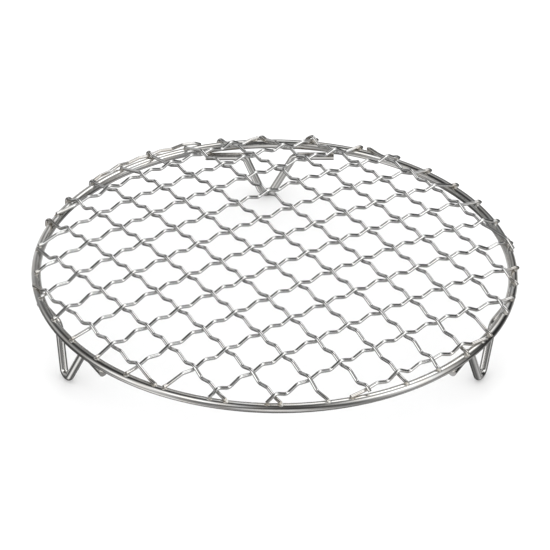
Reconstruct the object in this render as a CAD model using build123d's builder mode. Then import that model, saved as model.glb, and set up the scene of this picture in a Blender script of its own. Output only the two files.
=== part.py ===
from build123d import *

from math import cos, hypot, inf, radians, sin, sqrt, tan
import os

# Round cooling rack. A domed net of crimped, woven wires rests on a thick rim ring, and three
# hat-shaped wire legs are welded under the ring. Millimetres, +Z up, feet on Z = 0, the ring's
# axis on Z, and one leg at the back (+Y).

os.makedirs("parts", exist_ok=True)

# Rim ring
rim_radius = 100.0  # centreline
rim_wire = 4.0
rim_height = 25.0  # centreline above the feet

# Legs
leg_wire = 3.4
flange_plane = 95.5  # distance of a leg's flanges from the rack's axis
leg_gap = 0.05  # under the ring, where the weld sits
flange_half = 28.5
foot_half = 2.2
leg_bend = 3.3

# Each leg: azimuth in degrees from +X, the foot's distance from the axis, how far the foot
# lies to one side of the leg's middle, and half the spread of the arms at the top
legs = {
    "leg_back": (91.8, 97.0, 1.0, 10.9),
    "leg_left": (210.0, 97.0, -2.2, 11.4),
    "leg_right": (333.0, 95.5, 1.2, 11.4),
}

# Woven net
net_wire = 1.45
net_pitch = 16.35
net_turn = 37.3  # weft direction, degrees from +X
net_count = 12  # wires that rest on the ring, in each family
warp_start = -90.95  # first warp wire's offset from the axis
weft_start = -85.2
weave = 0.93  # half the height between two wires at a crossing
crimp = 1.0  # half the crimp depth between crossings
half_waves = 3  # half waves of crimp from one crossing to the next
net_bend = 2.8
bend_share = 0.46  # most of its shorter run that a bend may take up

# Dome of the net, measured from the ring's centreline plane
dome_edge = 3.6
dome_rise = 8.2
dome_power = 2.5

# Crossings near the ring, by how far inside its centreline they are
crimp_stop = 3.2  # no crimps nearer than this between crossings
edge_band = 19.0  # nearer than this, the upper wire is raised a little
edge_lift = 0.35
dip_band = 16.0  # nearer than this, the crimps between crossings sag
edge_dip = 1.4
over_ring = 3.6  # nearer than this, the lower wire rests on the ring
over_ring_height = 2.8
crossing_limit = 1.0  # crossings up to this far outside still count

# Ends of the net wires, bent over the ring: distances outside its centreline, and heights
# above that
wrap = 2.78  # wire centre to ring centreline
wrap_corner = wrap * tan(radians(22.5))
hook_top = 3.05
hook_reach = 3.1
hook_shoulder = 1.4
hook_tip_reach = 3.0
hook_tip = -1.3
inner_seat_height = 2.9
inner_seat_run = 2.2  # least straight run that leads to the inner seat
seat_run = 1.5
steepest = 0.7  # fall per run, down from a crossing
oblique_offset = 78.0  # wires further out than this meet the ring at a slant
front_line = -70.0  # in front of this, ends stop on top of the ring
shoulder_reach = 2.2
short_reach = 1.9  # ends on the right-hand side
shoulder_wrap = 2.88
shoulder_run = 1.2
longest_tail = 4.0

# Ends that stop short of a wire that crosses just outside the ring
crossing_near = 0.4
crossing_far = 5.0
tip_spacing = 1.65
tip_inside = 0.6

# Outermost weft wire, which follows the outside of the ring: its bends, as distance along the
# weft direction, distance outside the ring's centreline, and height
outer_bends = [
    (-23.6, 2.6, 1.4),
    (-20.1, 2.3, 2.2),
    (-14.65, 2.3, 1.8),
    (-9.2, 2.1, 3.0),
    (-3.75, 2.3, 1.9),
    (1.7, 2.1, 2.6),
    (7.15, 1.8, 2.09),
    (12.6, 2.1, 2.7),
    (18.05, 2.3, 1.9),
    (23.5, 2.1, 3.0),
    (28.95, 2.4, 2.4),
    (32.0, 3.0, 0.8),
]
tucked_bend = 6  # where it lies under a warp wire that hooks over it
tucked_warp = 6  # that warp wire, counted from 0
cut_warps = (5, 7)  # the two that stop short of it, on top of the ring
cut_reach = 0.35
tuck_radius = 1.53
tuck_rise = 0.1

half_wave = net_pitch / half_waves
tuck_corner = tuck_radius * tan(radians(22.5))

warp_axis = Vector(sin(radians(net_turn)), -cos(radians(net_turn)), 0)
weft_axis = Vector(cos(radians(net_turn)), sin(radians(net_turn)), 0)


def dome(radius):
    """Height of the net's middle surface above the ring's centreline plane."""
    return dome_edge + dome_rise * (1 - min(radius / rim_radius, 1.0) ** dome_power)


def crossing_height(radius, on_top):
    """Height of a wire where it crosses one of the other family."""
    low = dome(radius) - weave
    if radius > rim_radius - over_ring:
        low = max(low, over_ring_height)
    if not on_top:
        return low
    return low + 2 * weave + (edge_lift if radius > rim_radius - edge_band else 0.0)


def crimped_run(offset, first, starts_on_top):
    """Bends of one net wire inside the ring, as (distance along the wire, height)."""
    bends = []
    for step in range(half_waves * (net_count - 1) + 1):
        along = first + step * half_wave
        radius = hypot(along, offset)
        on_top = starts_on_top == (step % 2 == 0)
        if step % half_waves == 0:
            if radius < rim_radius + crossing_limit:
                bends.append((along, crossing_height(radius, on_top)))
        elif radius < rim_radius - crimp_stop:
            share = max(0.0, 1 - (rim_radius - radius) / dip_band)
            middle = dome(radius) - edge_dip * share
            bends.append((along, middle + (crimp if on_top else -crimp)))
    return bends


def along_at(distance, offset):
    """How far along a wire lies the point this far outside the ring's centreline."""
    return sqrt((rim_radius + distance) ** 2 - offset**2)


def shoulder_height(along, offset):
    """Height of a wire that lies on the ring's outer shoulder."""
    distance = hypot(along, offset) - rim_radius
    if distance < wrap_corner:
        return wrap
    return sqrt(max(shoulder_wrap**2 - distance**2, 0.0))


def room_at_tip(offset, first, side):
    """How far a tip may reach before a wire that crosses it just outside the ring."""
    room = inf
    for number in range(net_count):
        crossing = side * (first + number * net_pitch)
        distance = hypot(crossing, offset) - rim_radius
        if 0 < crossing < abs(offset) and crossing_near < distance < crossing_far:
            room = min(room, crossing - tip_spacing)
    return room


def wire_end(offset, first, bends, side, cut):
    """Bends that lay one end of a net wire over the ring, as (distance along, height)."""
    last, height = max((side * along, height) for along, height in bends)
    seats = []
    inside = along_at(-wrap_corner, offset)
    if inside > last + inner_seat_run:
        height = max(inner_seat_height, height - steepest * (inside - last))
        last = inside
        seats.append((last, height))

    over = max(along_at(wrap_corner, offset), last + seat_run)
    tail = [(over, max(wrap, height - steepest * (over - last)))]
    if abs(offset) < oblique_offset and not cut and side < 0:
        tail = [
            (over, max(hook_top, tail[0][1])),
            (along_at(hook_reach, offset), hook_shoulder),
            (along_at(hook_tip_reach, offset), hook_tip),
        ]
    else:
        reach = shoulder_reach if side < 0 else short_reach
        tip = min(along_at(reach, offset), along_at(0, offset) + longest_tail)
        tip = max(tip, over + shoulder_run)
        tail.append((tip, shoulder_height(tip, offset)))

    room = along_at(cut_reach, offset) if cut else room_at_tip(offset, first, side)
    if room < tail[-1][0]:
        tip = max(room, along_at(0, offset) - tip_inside, last + seat_run)
        tail = [(tip, max(shoulder_height(tip, offset), height - steepest * (tip - last)))]
    return [(side * along, height) for along, height in seats + tail]


def tucked_end(offset):
    """Bends that take the end of a warp wire over the outermost weft wire and down."""
    inside = along_at(-wrap_corner, offset)
    across, distance, height = outer_bends[tucked_bend]
    outer = along_at(distance, across)
    height += tuck_rise
    return [
        (-inside, inner_seat_height),
        (-(outer - tuck_corner), height + tuck_radius),
        (-(outer + tuck_corner), height + tuck_radius),
        (-(outer + tuck_radius), height + tuck_corner),
        (-(outer + tuck_radius), hook_tip),
    ]


def net_wire_bends(offset, first, starts_on_top, run_axis, step_axis, cut=False, tucked=False):
    """All bends of one net wire, end to end."""
    run = crimped_run(offset, first, starts_on_top)
    ends = []
    for side in (-1, 1):
        meets = run_axis * (side * along_at(0, offset)) + step_axis * offset
        stops_on_ring = cut and side < 0 or meets.Y < front_line
        ends.append(wire_end(offset, first, run, side, stops_on_ring))
    if tucked:
        ends[0] = tucked_end(offset)
    return [
        run_axis * along + step_axis * offset + Vector(0, 0, rim_height + height)
        for along, height in ends[0][::-1] + run + ends[1]
    ]


def outer_wire_bends():
    """Bends of the outermost weft wire."""
    return [
        weft_axis * along - warp_axis * along_at(distance, along)
        + Vector(0, 0, rim_height + height)
        for along, distance, height in outer_bends
    ]


def lay_wire(bends, bend_radius):
    """Draw a bent wire's centreline: straight runs joined by tangent arcs."""
    start = bends[0]
    for before, corner, after in zip(bends, bends[1:], bends[2:]):
        back = (before - corner).normalized()
        ahead = (after - corner).normalized()
        half_turn = radians(180 - back.get_angle(ahead)) / 2
        shortest = min((before - corner).length, (after - corner).length)
        setback = min(bend_radius * tan(half_turn), bend_share * shortest)
        radius = setback / tan(half_turn)
        inward = (back + ahead).normalized()
        middle = corner + inward * (radius / cos(half_turn) - radius)
        Line(start, corner + back * setback)
        ThreePointArc(corner + back * setback, middle, corner + ahead * setback)
        start = corner + ahead * setback
    Line(start, bends[-1])


with BuildPart() as rim_ring:
    with Locations((0, 0, rim_height)):
        Torus(rim_radius, rim_wire / 2)

rim_ring.part.label = "rim_ring"
export_step(rim_ring.part, "parts/rim_ring.step")


# Legs: flange, arm, rounded foot, arm and flange.
flange_height = rim_height - rim_wire / 2 - leg_wire / 2 - leg_gap


def leg_bends(azimuth, foot_distance, foot_shift, arm_top_half):
    """One leg's bends, from flange tip to flange tip."""
    outward = Vector(cos(radians(azimuth)), sin(radians(azimuth)), 0)
    sideways = Vector(-outward.Y, outward.X, 0)
    profile = [
        (-flange_half, flange_height, flange_plane),
        (-arm_top_half, flange_height, flange_plane),
        (foot_shift - foot_half, leg_wire / 2, foot_distance),
        (foot_shift + foot_half, leg_wire / 2, foot_distance),
        (arm_top_half, flange_height, flange_plane),
        (flange_half, flange_height, flange_plane),
    ]
    return [
        outward * out + sideways * across + Vector(0, 0, height)
        for across, height, out in profile
    ]


for leg_name, shape in legs.items():
    with BuildPart() as leg:
        with BuildLine() as leg_line:
            lay_wire(leg_bends(*shape), leg_bend)
        with BuildSketch(Plane(origin=leg_line.line @ 0, z_dir=leg_line.line % 0)):
            Circle(leg_wire / 2)
        sweep()

    leg.part.label = leg_name
    export_step(leg.part, f"parts/{leg_name}.step")


# Net: two families of wires at right angles, each over and under the other in turn.
net = {}
for number in range(net_count):
    net[f"warp_wire_{number + 1:02d}"] = net_wire_bends(
        warp_start + number * net_pitch, weft_start, number % 2 == 1, warp_axis, weft_axis,
        cut=number in cut_warps, tucked=number == tucked_warp,
    )

net["weft_wire_01"] = outer_wire_bends()
for number in range(net_count):
    net[f"weft_wire_{number + 2:02d}"] = net_wire_bends(
        weft_start + number * net_pitch, warp_start, number % 2 == 0, weft_axis, warp_axis,
        cut=True,
    )

for wire_name, wire_bends in net.items():
    with BuildPart() as woven_wire:
        with BuildLine() as wire_line:
            lay_wire(wire_bends, net_bend)
        with BuildSketch(Plane(origin=wire_line.line @ 0, z_dir=wire_line.line % 0)):
            Circle(net_wire / 2)
        sweep()

    woven_wire.part.label = wire_name
    export_step(woven_wire.part, f"parts/{wire_name}.step")
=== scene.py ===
from math import cos, pi, radians, sin

import bmesh
import bpy
from mathutils import Matrix, Vector, noise


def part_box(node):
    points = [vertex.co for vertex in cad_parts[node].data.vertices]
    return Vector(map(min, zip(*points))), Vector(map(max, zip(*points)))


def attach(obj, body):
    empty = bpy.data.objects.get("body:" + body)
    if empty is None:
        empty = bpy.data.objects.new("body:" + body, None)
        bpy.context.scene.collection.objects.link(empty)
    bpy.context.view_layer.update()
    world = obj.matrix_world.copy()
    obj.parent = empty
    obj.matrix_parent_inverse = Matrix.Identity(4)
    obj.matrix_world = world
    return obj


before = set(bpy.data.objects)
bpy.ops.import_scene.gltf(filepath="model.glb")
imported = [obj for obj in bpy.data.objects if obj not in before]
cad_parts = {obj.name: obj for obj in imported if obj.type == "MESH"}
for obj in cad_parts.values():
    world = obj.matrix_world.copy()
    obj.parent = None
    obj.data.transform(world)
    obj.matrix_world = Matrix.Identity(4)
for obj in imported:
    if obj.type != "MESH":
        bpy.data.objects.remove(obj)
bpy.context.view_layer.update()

# Round cooling rack: polished steel wire on a plain pale floor, seen from the front and above.

ring_low, ring_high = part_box("rim_ring")
RING_HEIGHT = (ring_low[2] + ring_high[2]) / 2
RIM_WIRE = (ring_high[2] - ring_low[2]) / 2  # radius of the rim's wire
RING_RADIUS = (ring_high[0] - ring_low[0]) / 2 - RIM_WIRE
NET_TURN = radians(37.3)  # the weft wires' direction, from +X

# Camera
FOCAL_LENGTHS = 6.078  # focal length over sensor width
ELEVATION = radians(33.70)
ROLL = radians(-0.813)
DISTANCE = 1.39966
AIM = Vector((0.000164, -0.005167, RING_HEIGHT))

# Studio. The panels are what the steel mirrors: azimuth from +X and elevation in degrees, and
# brightness. The panels below the horizon are the lit table.
ROOM_WHITE = 1.35
PANEL_BASE = 0.015  # between the panels
PANEL_FOCUS = 18.0  # higher makes smaller panels
FLOOR_HALF = 6.0
FLOOR_PAPER = (0.92, 0.92, 0.92)
PANELS = [
    (62, 56, 2.40),  # overhead, behind
    (-29, 38, 2.05),  # softbox at the front right
    (-131, 38, 1.85),  # softbox at the front left
    (-158, 8, 1.45),  # low reflectors round the room
    (-23, 8, 1.20),
    (112, 10, 0.70),
    (157, 10, 0.55),
    (-90, -20, 1.10),  # table
    (64, -22, 0.70),
    (116, -22, 0.70),
    (-141, -22, 0.45),
    (-30, -22, 0.45),
    (-160, -55, 1.15),
    (-70, -55, 0.60),
    (20, -55, 0.60),
]

# Steel
RIM_STEEL = (0.80, 0.80, 0.79)
LEG_STEEL = (0.82, 0.81, 0.79)
NET_STEEL = (0.86, 0.86, 0.85)
RIM_ROUGHNESS = 0.11
WIRE_ROUGHNESS = 0.12
DIE_MARKS = 6500.0  # noise scales, per metre
HANDLING = 120.0
SPECKS = 1400.0
MARK_DEPTH = 0.00002
MARK_SQUEEZE = 0.08  # how far the noise is squeezed along a wire, to draw marks out along it
TINT_FULL = 0.0025  # heat tint: full up to this far from the ring's centre circle
TINT_NONE = 0.0060
TINT = (0.42, 0.35, 0.26)
RIM_TINT = 0.25  # how strong it gets
WIRE_TINT = 0.5

# Welds
NET_CONTACT = 0.0004  # a net wire nearer to the ring than this is welded to it
LEG_CONTACT = 0.0006
NET_BEAD = (0.0013, 0.0011, 0.00045)  # half length, half width, height
LEG_BEAD = (0.0026, 0.0016, 0.0006)
BEAD_RINGS = 7
BEAD_SIDES = 18
BEAD_SUNK = 0.25  # of its height, into the ring
BEAD_UNEVEN = 0.22
BEAD_STEEL = (0.84, 0.83, 0.80)
BEAD_STRAW = (0.50, 0.43, 0.33)
BEAD_RIPPLES = 2200.0  # noise scales, per metre
BEAD_PATCHES = 420.0
RIPPLE_DEPTH = 0.00006
SEED_STEP = 3.7  # sets the beads' noise apart


def make_camera():
    """A long lens, in front of the rack and above it, turned a little about its own axis."""
    forward = Vector((0, cos(ELEVATION), -sin(ELEVATION)))
    level = Vector((1, 0, 0))
    down = Vector((0, -sin(ELEVATION), -cos(ELEVATION)))
    right = level * cos(ROLL) + down * sin(ROLL)
    below = down * cos(ROLL) - level * sin(ROLL)
    data = bpy.data.cameras.new("camera")
    data.sensor_width = 36.0
    data.lens = data.sensor_width * FOCAL_LENGTHS
    data.clip_start = 0.05
    data.clip_end = 20.0
    camera = bpy.data.objects.new("camera", data)
    turn = Matrix((right, -below, -forward)).transposed().to_4x4()
    camera.matrix_world = Matrix.Translation(AIM - forward * DISTANCE) @ turn
    bpy.context.scene.collection.objects.link(camera)
    bpy.context.scene.camera = camera


class Nodes:
    """A node tree, written as calls."""

    def __init__(self, tree):
        self.tree = tree
        tree.nodes.clear()

    def add(self, kind, inputs=None, **settings):
        node = self.tree.nodes.new(kind)
        for name, value in settings.items():
            setattr(node, name, value)
        for name, value in (inputs or {}).items():
            if isinstance(value, bpy.types.NodeSocket):
                self.tree.links.new(value, node.inputs[name])
            else:
                node.inputs[name].default_value = value
        return node

    def math(self, operation, first, second=0.0):
        return self.add("ShaderNodeMath", {0: first, 1: second}, operation=operation).outputs[0]

    def length(self, first, second):
        squares = self.math("MULTIPLY", first, first), self.math("MULTIPLY", second, second)
        return self.math("SQRT", self.math("ADD", *squares))

    def spread(self, value, low, high, to_low, to_high):
        """Map a value from one range to another, and hold it there."""
        return self.add("ShaderNodeMapRange", {
            "Value": value, "From Min": low, "From Max": high,
            "To Min": to_low, "To Max": to_high}).outputs["Result"]

    def noise(self, place, scale, detail=2.0):
        return self.add("ShaderNodeTexNoise", {
            "Vector": place, "Scale": scale, "Detail": detail}).outputs["Fac"]

    def blend(self, share, first, second, blend_type="MIX"):
        node = self.add("ShaderNodeMix", data_type="RGBA", blend_type=blend_type)
        for socket, value in ((0, share), (6, first), (7, second)):
            if isinstance(value, bpy.types.NodeSocket):
                self.tree.links.new(value, node.inputs[socket])
            elif socket == 0:
                node.inputs[0].default_value = value
            else:
                node.inputs[socket].default_value = (*value, 1.0)
        return node.outputs[2]


def along_net(n, place, turn):
    """Coordinates squeezed along a net wire, so that noise makes marks drawn out along it."""
    return n.add("ShaderNodeMapping", {
        "Vector": place, "Rotation": (0, 0, -turn),
        "Scale": (MARK_SQUEEZE, 1.0, 1.0)}).outputs["Vector"]


def along_ring(n, place):
    """Coordinates squeezed along the ring's circumference."""
    part = n.add("ShaderNodeSeparateXYZ", {"Vector": place})
    angle = n.math("ARCTAN2", part.outputs["Y"], part.outputs["X"])
    radius = n.length(part.outputs["X"], part.outputs["Y"])
    around = n.math("MULTIPLY", angle, RING_RADIUS * MARK_SQUEEZE)
    return n.add("ShaderNodeCombineXYZ", {
        "X": around, "Y": radius, "Z": part.outputs["Z"]}).outputs["Vector"]


def ring_nearness(n, place):
    """1 on the ring's centre circle, falling to 0 a few millimetres away from it."""
    part = n.add("ShaderNodeSeparateXYZ", {"Vector": place})
    radius = n.length(part.outputs["X"], part.outputs["Y"])
    out = n.math("SUBTRACT", radius, RING_RADIUS)
    up = n.math("SUBTRACT", part.outputs["Z"], RING_HEIGHT)
    return n.spread(n.length(out, up), TINT_FULL, TINT_NONE, 1.0, 0.0)


def steel(name, color, roughness, grain_of, tint):
    """Bright drawn steel, with faint die marks, handling marks and heat tint by the welds."""
    material = bpy.data.materials.new(name)
    material.use_nodes = True
    n = Nodes(material.node_tree)
    place = n.add("ShaderNodeTexCoord").outputs["Object"]
    marks = n.noise(grain_of(n, place), DIE_MARKS, 3.0)
    patches = n.noise(place, HANDLING, 3.0)
    specks = n.noise(place, SPECKS, 2.0)
    tone = n.math("MULTIPLY", n.spread(patches, 0.3, 0.7, 0.90, 1.0),
                  n.spread(marks, 0.3, 0.7, 0.97, 1.0))
    shade = n.blend(1.0, color, n.add("ShaderNodeCombineColor", {
        "Red": tone, "Green": tone, "Blue": tone}).outputs["Color"], "MULTIPLY")
    near = n.math("MULTIPLY", ring_nearness(n, place), n.spread(patches, 0.35, 0.6, 0.0, tint))
    shade = n.blend(near, shade, TINT)
    dull = n.spread(patches, 0.35, 0.7, roughness * 0.8, roughness * 1.25)
    rough = n.math("ADD", dull, n.spread(specks, 0.55, 0.75, 0.0, 0.05))
    bump = n.add("ShaderNodeBump", {"Height": marks, "Strength": 0.15, "Distance": MARK_DEPTH})
    shader = n.add("ShaderNodeBsdfPrincipled", {
        "Base Color": shade, "Roughness": rough, "Metallic": 1.0,
        "Normal": bump.outputs["Normal"]})
    n.add("ShaderNodeOutputMaterial", {"Surface": shader.outputs["BSDF"]})
    return material


def paint_nodes():
    """One finish for the rim, one for the legs, and one for each family of net wires."""
    rim = steel("rim_steel", RIM_STEEL, RIM_ROUGHNESS, along_ring, RIM_TINT)
    leg = steel("leg_steel", LEG_STEEL, WIRE_ROUGHNESS, lambda n, place: place, WIRE_TINT)
    warp = steel("warp_steel", NET_STEEL, WIRE_ROUGHNESS,
                 lambda n, place: along_net(n, place, NET_TURN - pi / 2), WIRE_TINT)
    weft = steel("weft_steel", NET_STEEL, WIRE_ROUGHNESS,
                 lambda n, place: along_net(n, place, NET_TURN), WIRE_TINT)
    for name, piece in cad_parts.items():
        if name.startswith("warp"):
            finish = warp
        elif name.startswith("weft"):
            finish = weft
        else:
            finish = rim if name.startswith("rim") else leg
        for slot in piece.material_slots:
            slot.material = finish


def from_ring(point):
    """A point's place seen from the ring: the nearest point of its centre circle, and outward."""
    flat = Vector((point.x, point.y, 0))
    centre = flat.normalized() * RING_RADIUS + Vector((0, 0, RING_HEIGHT))
    return centre, point - centre


def contacts(node, reach):
    """Where a wire touches the ring: at most one place towards each of its ends."""
    points = [vertex.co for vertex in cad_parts[node].data.vertices]
    middle = sum(points, Vector()) / len(points)
    farthest = max(points, key=lambda point: (point - middle).length)
    run = (farthest - middle).normalized()
    places = []
    for side in (-1, 1):
        near = [point for point in points if side * run.dot(point - middle) > 0
                and from_ring(point)[1].length < RIM_WIRE + reach]
        if near:
            mean = sum(near, Vector()) / len(near)
            centre, outward = from_ring(mean)
            places.append((centre + outward.normalized() * RIM_WIRE, outward.normalized()))
    return places


def add_bead(mesh, centre, up, long_way, size, seed):
    """A low, uneven bead of weld metal, sitting on a surface that faces up."""
    length, width, height = size
    ahead = (long_way - up * long_way.dot(up)).normalized()
    across = up.cross(ahead)
    rows = []
    for ring in range(BEAD_RINGS):
        lean = ring / (BEAD_RINGS - 1) * pi / 2
        row = []
        for step in range(BEAD_SIDES):
            turn = step / BEAD_SIDES * 2 * pi
            edge = 1 + BEAD_UNEVEN * noise.noise(Vector((cos(turn), sin(turn), seed * SEED_STEP)))
            forth = cos(lean) * edge * cos(turn)
            aside = cos(lean) * edge * sin(turn)
            top = 1 + BEAD_UNEVEN * noise.noise(Vector((forth * 2, aside * 2, seed)))
            lift = height * (sin(lean) * top - BEAD_SUNK)
            row.append(mesh.verts.new(
                centre + ahead * (length * forth) + across * (width * aside) + up * lift))
        rows.append(row)
    for lower, upper in zip(rows, rows[1:]):
        for step in range(BEAD_SIDES):
            after = (step + 1) % BEAD_SIDES
            mesh.faces.new((lower[step], lower[after], upper[after], upper[step]))
    mesh.faces.new(rows[0][::-1])


def make_welds(name, nodes, reach, size, material):
    """One bead at each place where these wires touch the ring."""
    mesh = bmesh.new()
    seed = 0
    for node in sorted(nodes):
        for centre, up in contacts(node, reach):
            around = Vector((-centre.y, centre.x, 0)).normalized()
            seed += 1
            add_bead(mesh, centre, up, around, size, seed)
    bmesh.ops.remove_doubles(mesh, verts=mesh.verts, dist=0.000001)
    bmesh.ops.recalc_face_normals(mesh, faces=mesh.faces)
    data = bpy.data.meshes.new(name)
    mesh.to_mesh(data)
    mesh.free()
    for face in data.polygons:
        face.use_smooth = True
    data.materials.append(material)
    piece = bpy.data.objects.new(name, data)
    bpy.context.scene.collection.objects.link(piece)
    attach(piece, "root")


def weld_metal(name):
    """Melted and cooled steel: rippled, duller than the wire, with straw-coloured patches."""
    material = bpy.data.materials.new(name)
    material.use_nodes = True
    n = Nodes(material.node_tree)
    place = n.add("ShaderNodeTexCoord").outputs["Object"]
    ripples = n.noise(place, BEAD_RIPPLES, 3.0)
    patches = n.noise(place, BEAD_PATCHES, 2.0)
    shade = n.blend(n.spread(patches, 0.45, 0.65, 0.0, 0.6), BEAD_STEEL, BEAD_STRAW)
    bump = n.add("ShaderNodeBump", {"Height": ripples, "Strength": 0.5, "Distance": RIPPLE_DEPTH})
    shader = n.add("ShaderNodeBsdfPrincipled", {
        "Base Color": shade, "Roughness": n.spread(ripples, 0.3, 0.7, 0.24, 0.42),
        "Metallic": 1.0, "Normal": bump.outputs["Normal"]})
    n.add("ShaderNodeOutputMaterial", {"Surface": shader.outputs["BSDF"]})
    return material


def make_floor():
    """White paper, which the steel doesn't mirror: the panels below the horizon stand for it."""
    mesh = bpy.data.meshes.new("floor")
    half = FLOOR_HALF
    corners = [(-half, -half, 0), (half, -half, 0), (half, half, 0), (-half, half, 0)]
    mesh.from_pydata(corners, [], [(0, 1, 2, 3)])
    floor = bpy.data.objects.new("floor", mesh)
    bpy.context.scene.collection.objects.link(floor)
    material = bpy.data.materials.new("floor_paper")
    material.use_nodes = True
    n = Nodes(material.node_tree)
    shader = n.add("ShaderNodeBsdfPrincipled", {
        "Base Color": (*FLOOR_PAPER, 1.0), "Roughness": 0.9})
    n.add("ShaderNodeOutputMaterial", {"Surface": shader.outputs["BSDF"]})
    mesh.materials.append(material)
    floor.visible_glossy = False


def make_world():
    """An even white room for the floor, and soft panels in the dark for what the steel mirrors."""
    world = bpy.data.worlds.new("studio")
    bpy.context.scene.world = world
    world.use_nodes = True
    n = Nodes(world.node_tree)
    way = n.add("ShaderNodeTexCoord").outputs["Generated"]
    seen = PANEL_BASE
    for azimuth, elevation, level in PANELS:
        flat = cos(radians(elevation))
        towards = (flat * cos(radians(azimuth)), flat * sin(radians(azimuth)),
                   sin(radians(elevation)))
        facing = n.add("ShaderNodeVectorMath", {0: way, 1: towards},
                       operation="DOT_PRODUCT").outputs["Value"]
        fall = n.math("MULTIPLY", n.math("SUBTRACT", facing, 1.0), PANEL_FOCUS)
        seen = n.math("ADD", n.math("MULTIPLY", n.math("EXPONENT", fall), level), seen)
    mirrored = n.add("ShaderNodeCombineColor", {"Red": seen, "Green": seen, "Blue": seen})
    path = n.add("ShaderNodeLightPath").outputs["Is Glossy Ray"]
    color = n.blend(path, (ROOM_WHITE, ROOM_WHITE, ROOM_WHITE), mirrored.outputs["Color"])
    background = n.add("ShaderNodeBackground", {"Color": color, "Strength": 1.0})
    n.add("ShaderNodeOutputWorld", {"Surface": background.outputs["Background"]})


bpy.context.scene.view_settings.view_transform = "Standard"
make_camera()
make_floor()
make_world()
paint_nodes()
wires = [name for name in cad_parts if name.startswith(("warp", "weft"))]
legs = [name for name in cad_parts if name.startswith("leg")]
weld = weld_metal("weld_metal")
make_welds("net_welds", wires, NET_CONTACT, NET_BEAD, weld)
make_welds("leg_welds", legs, LEG_CONTACT, LEG_BEAD, weld)
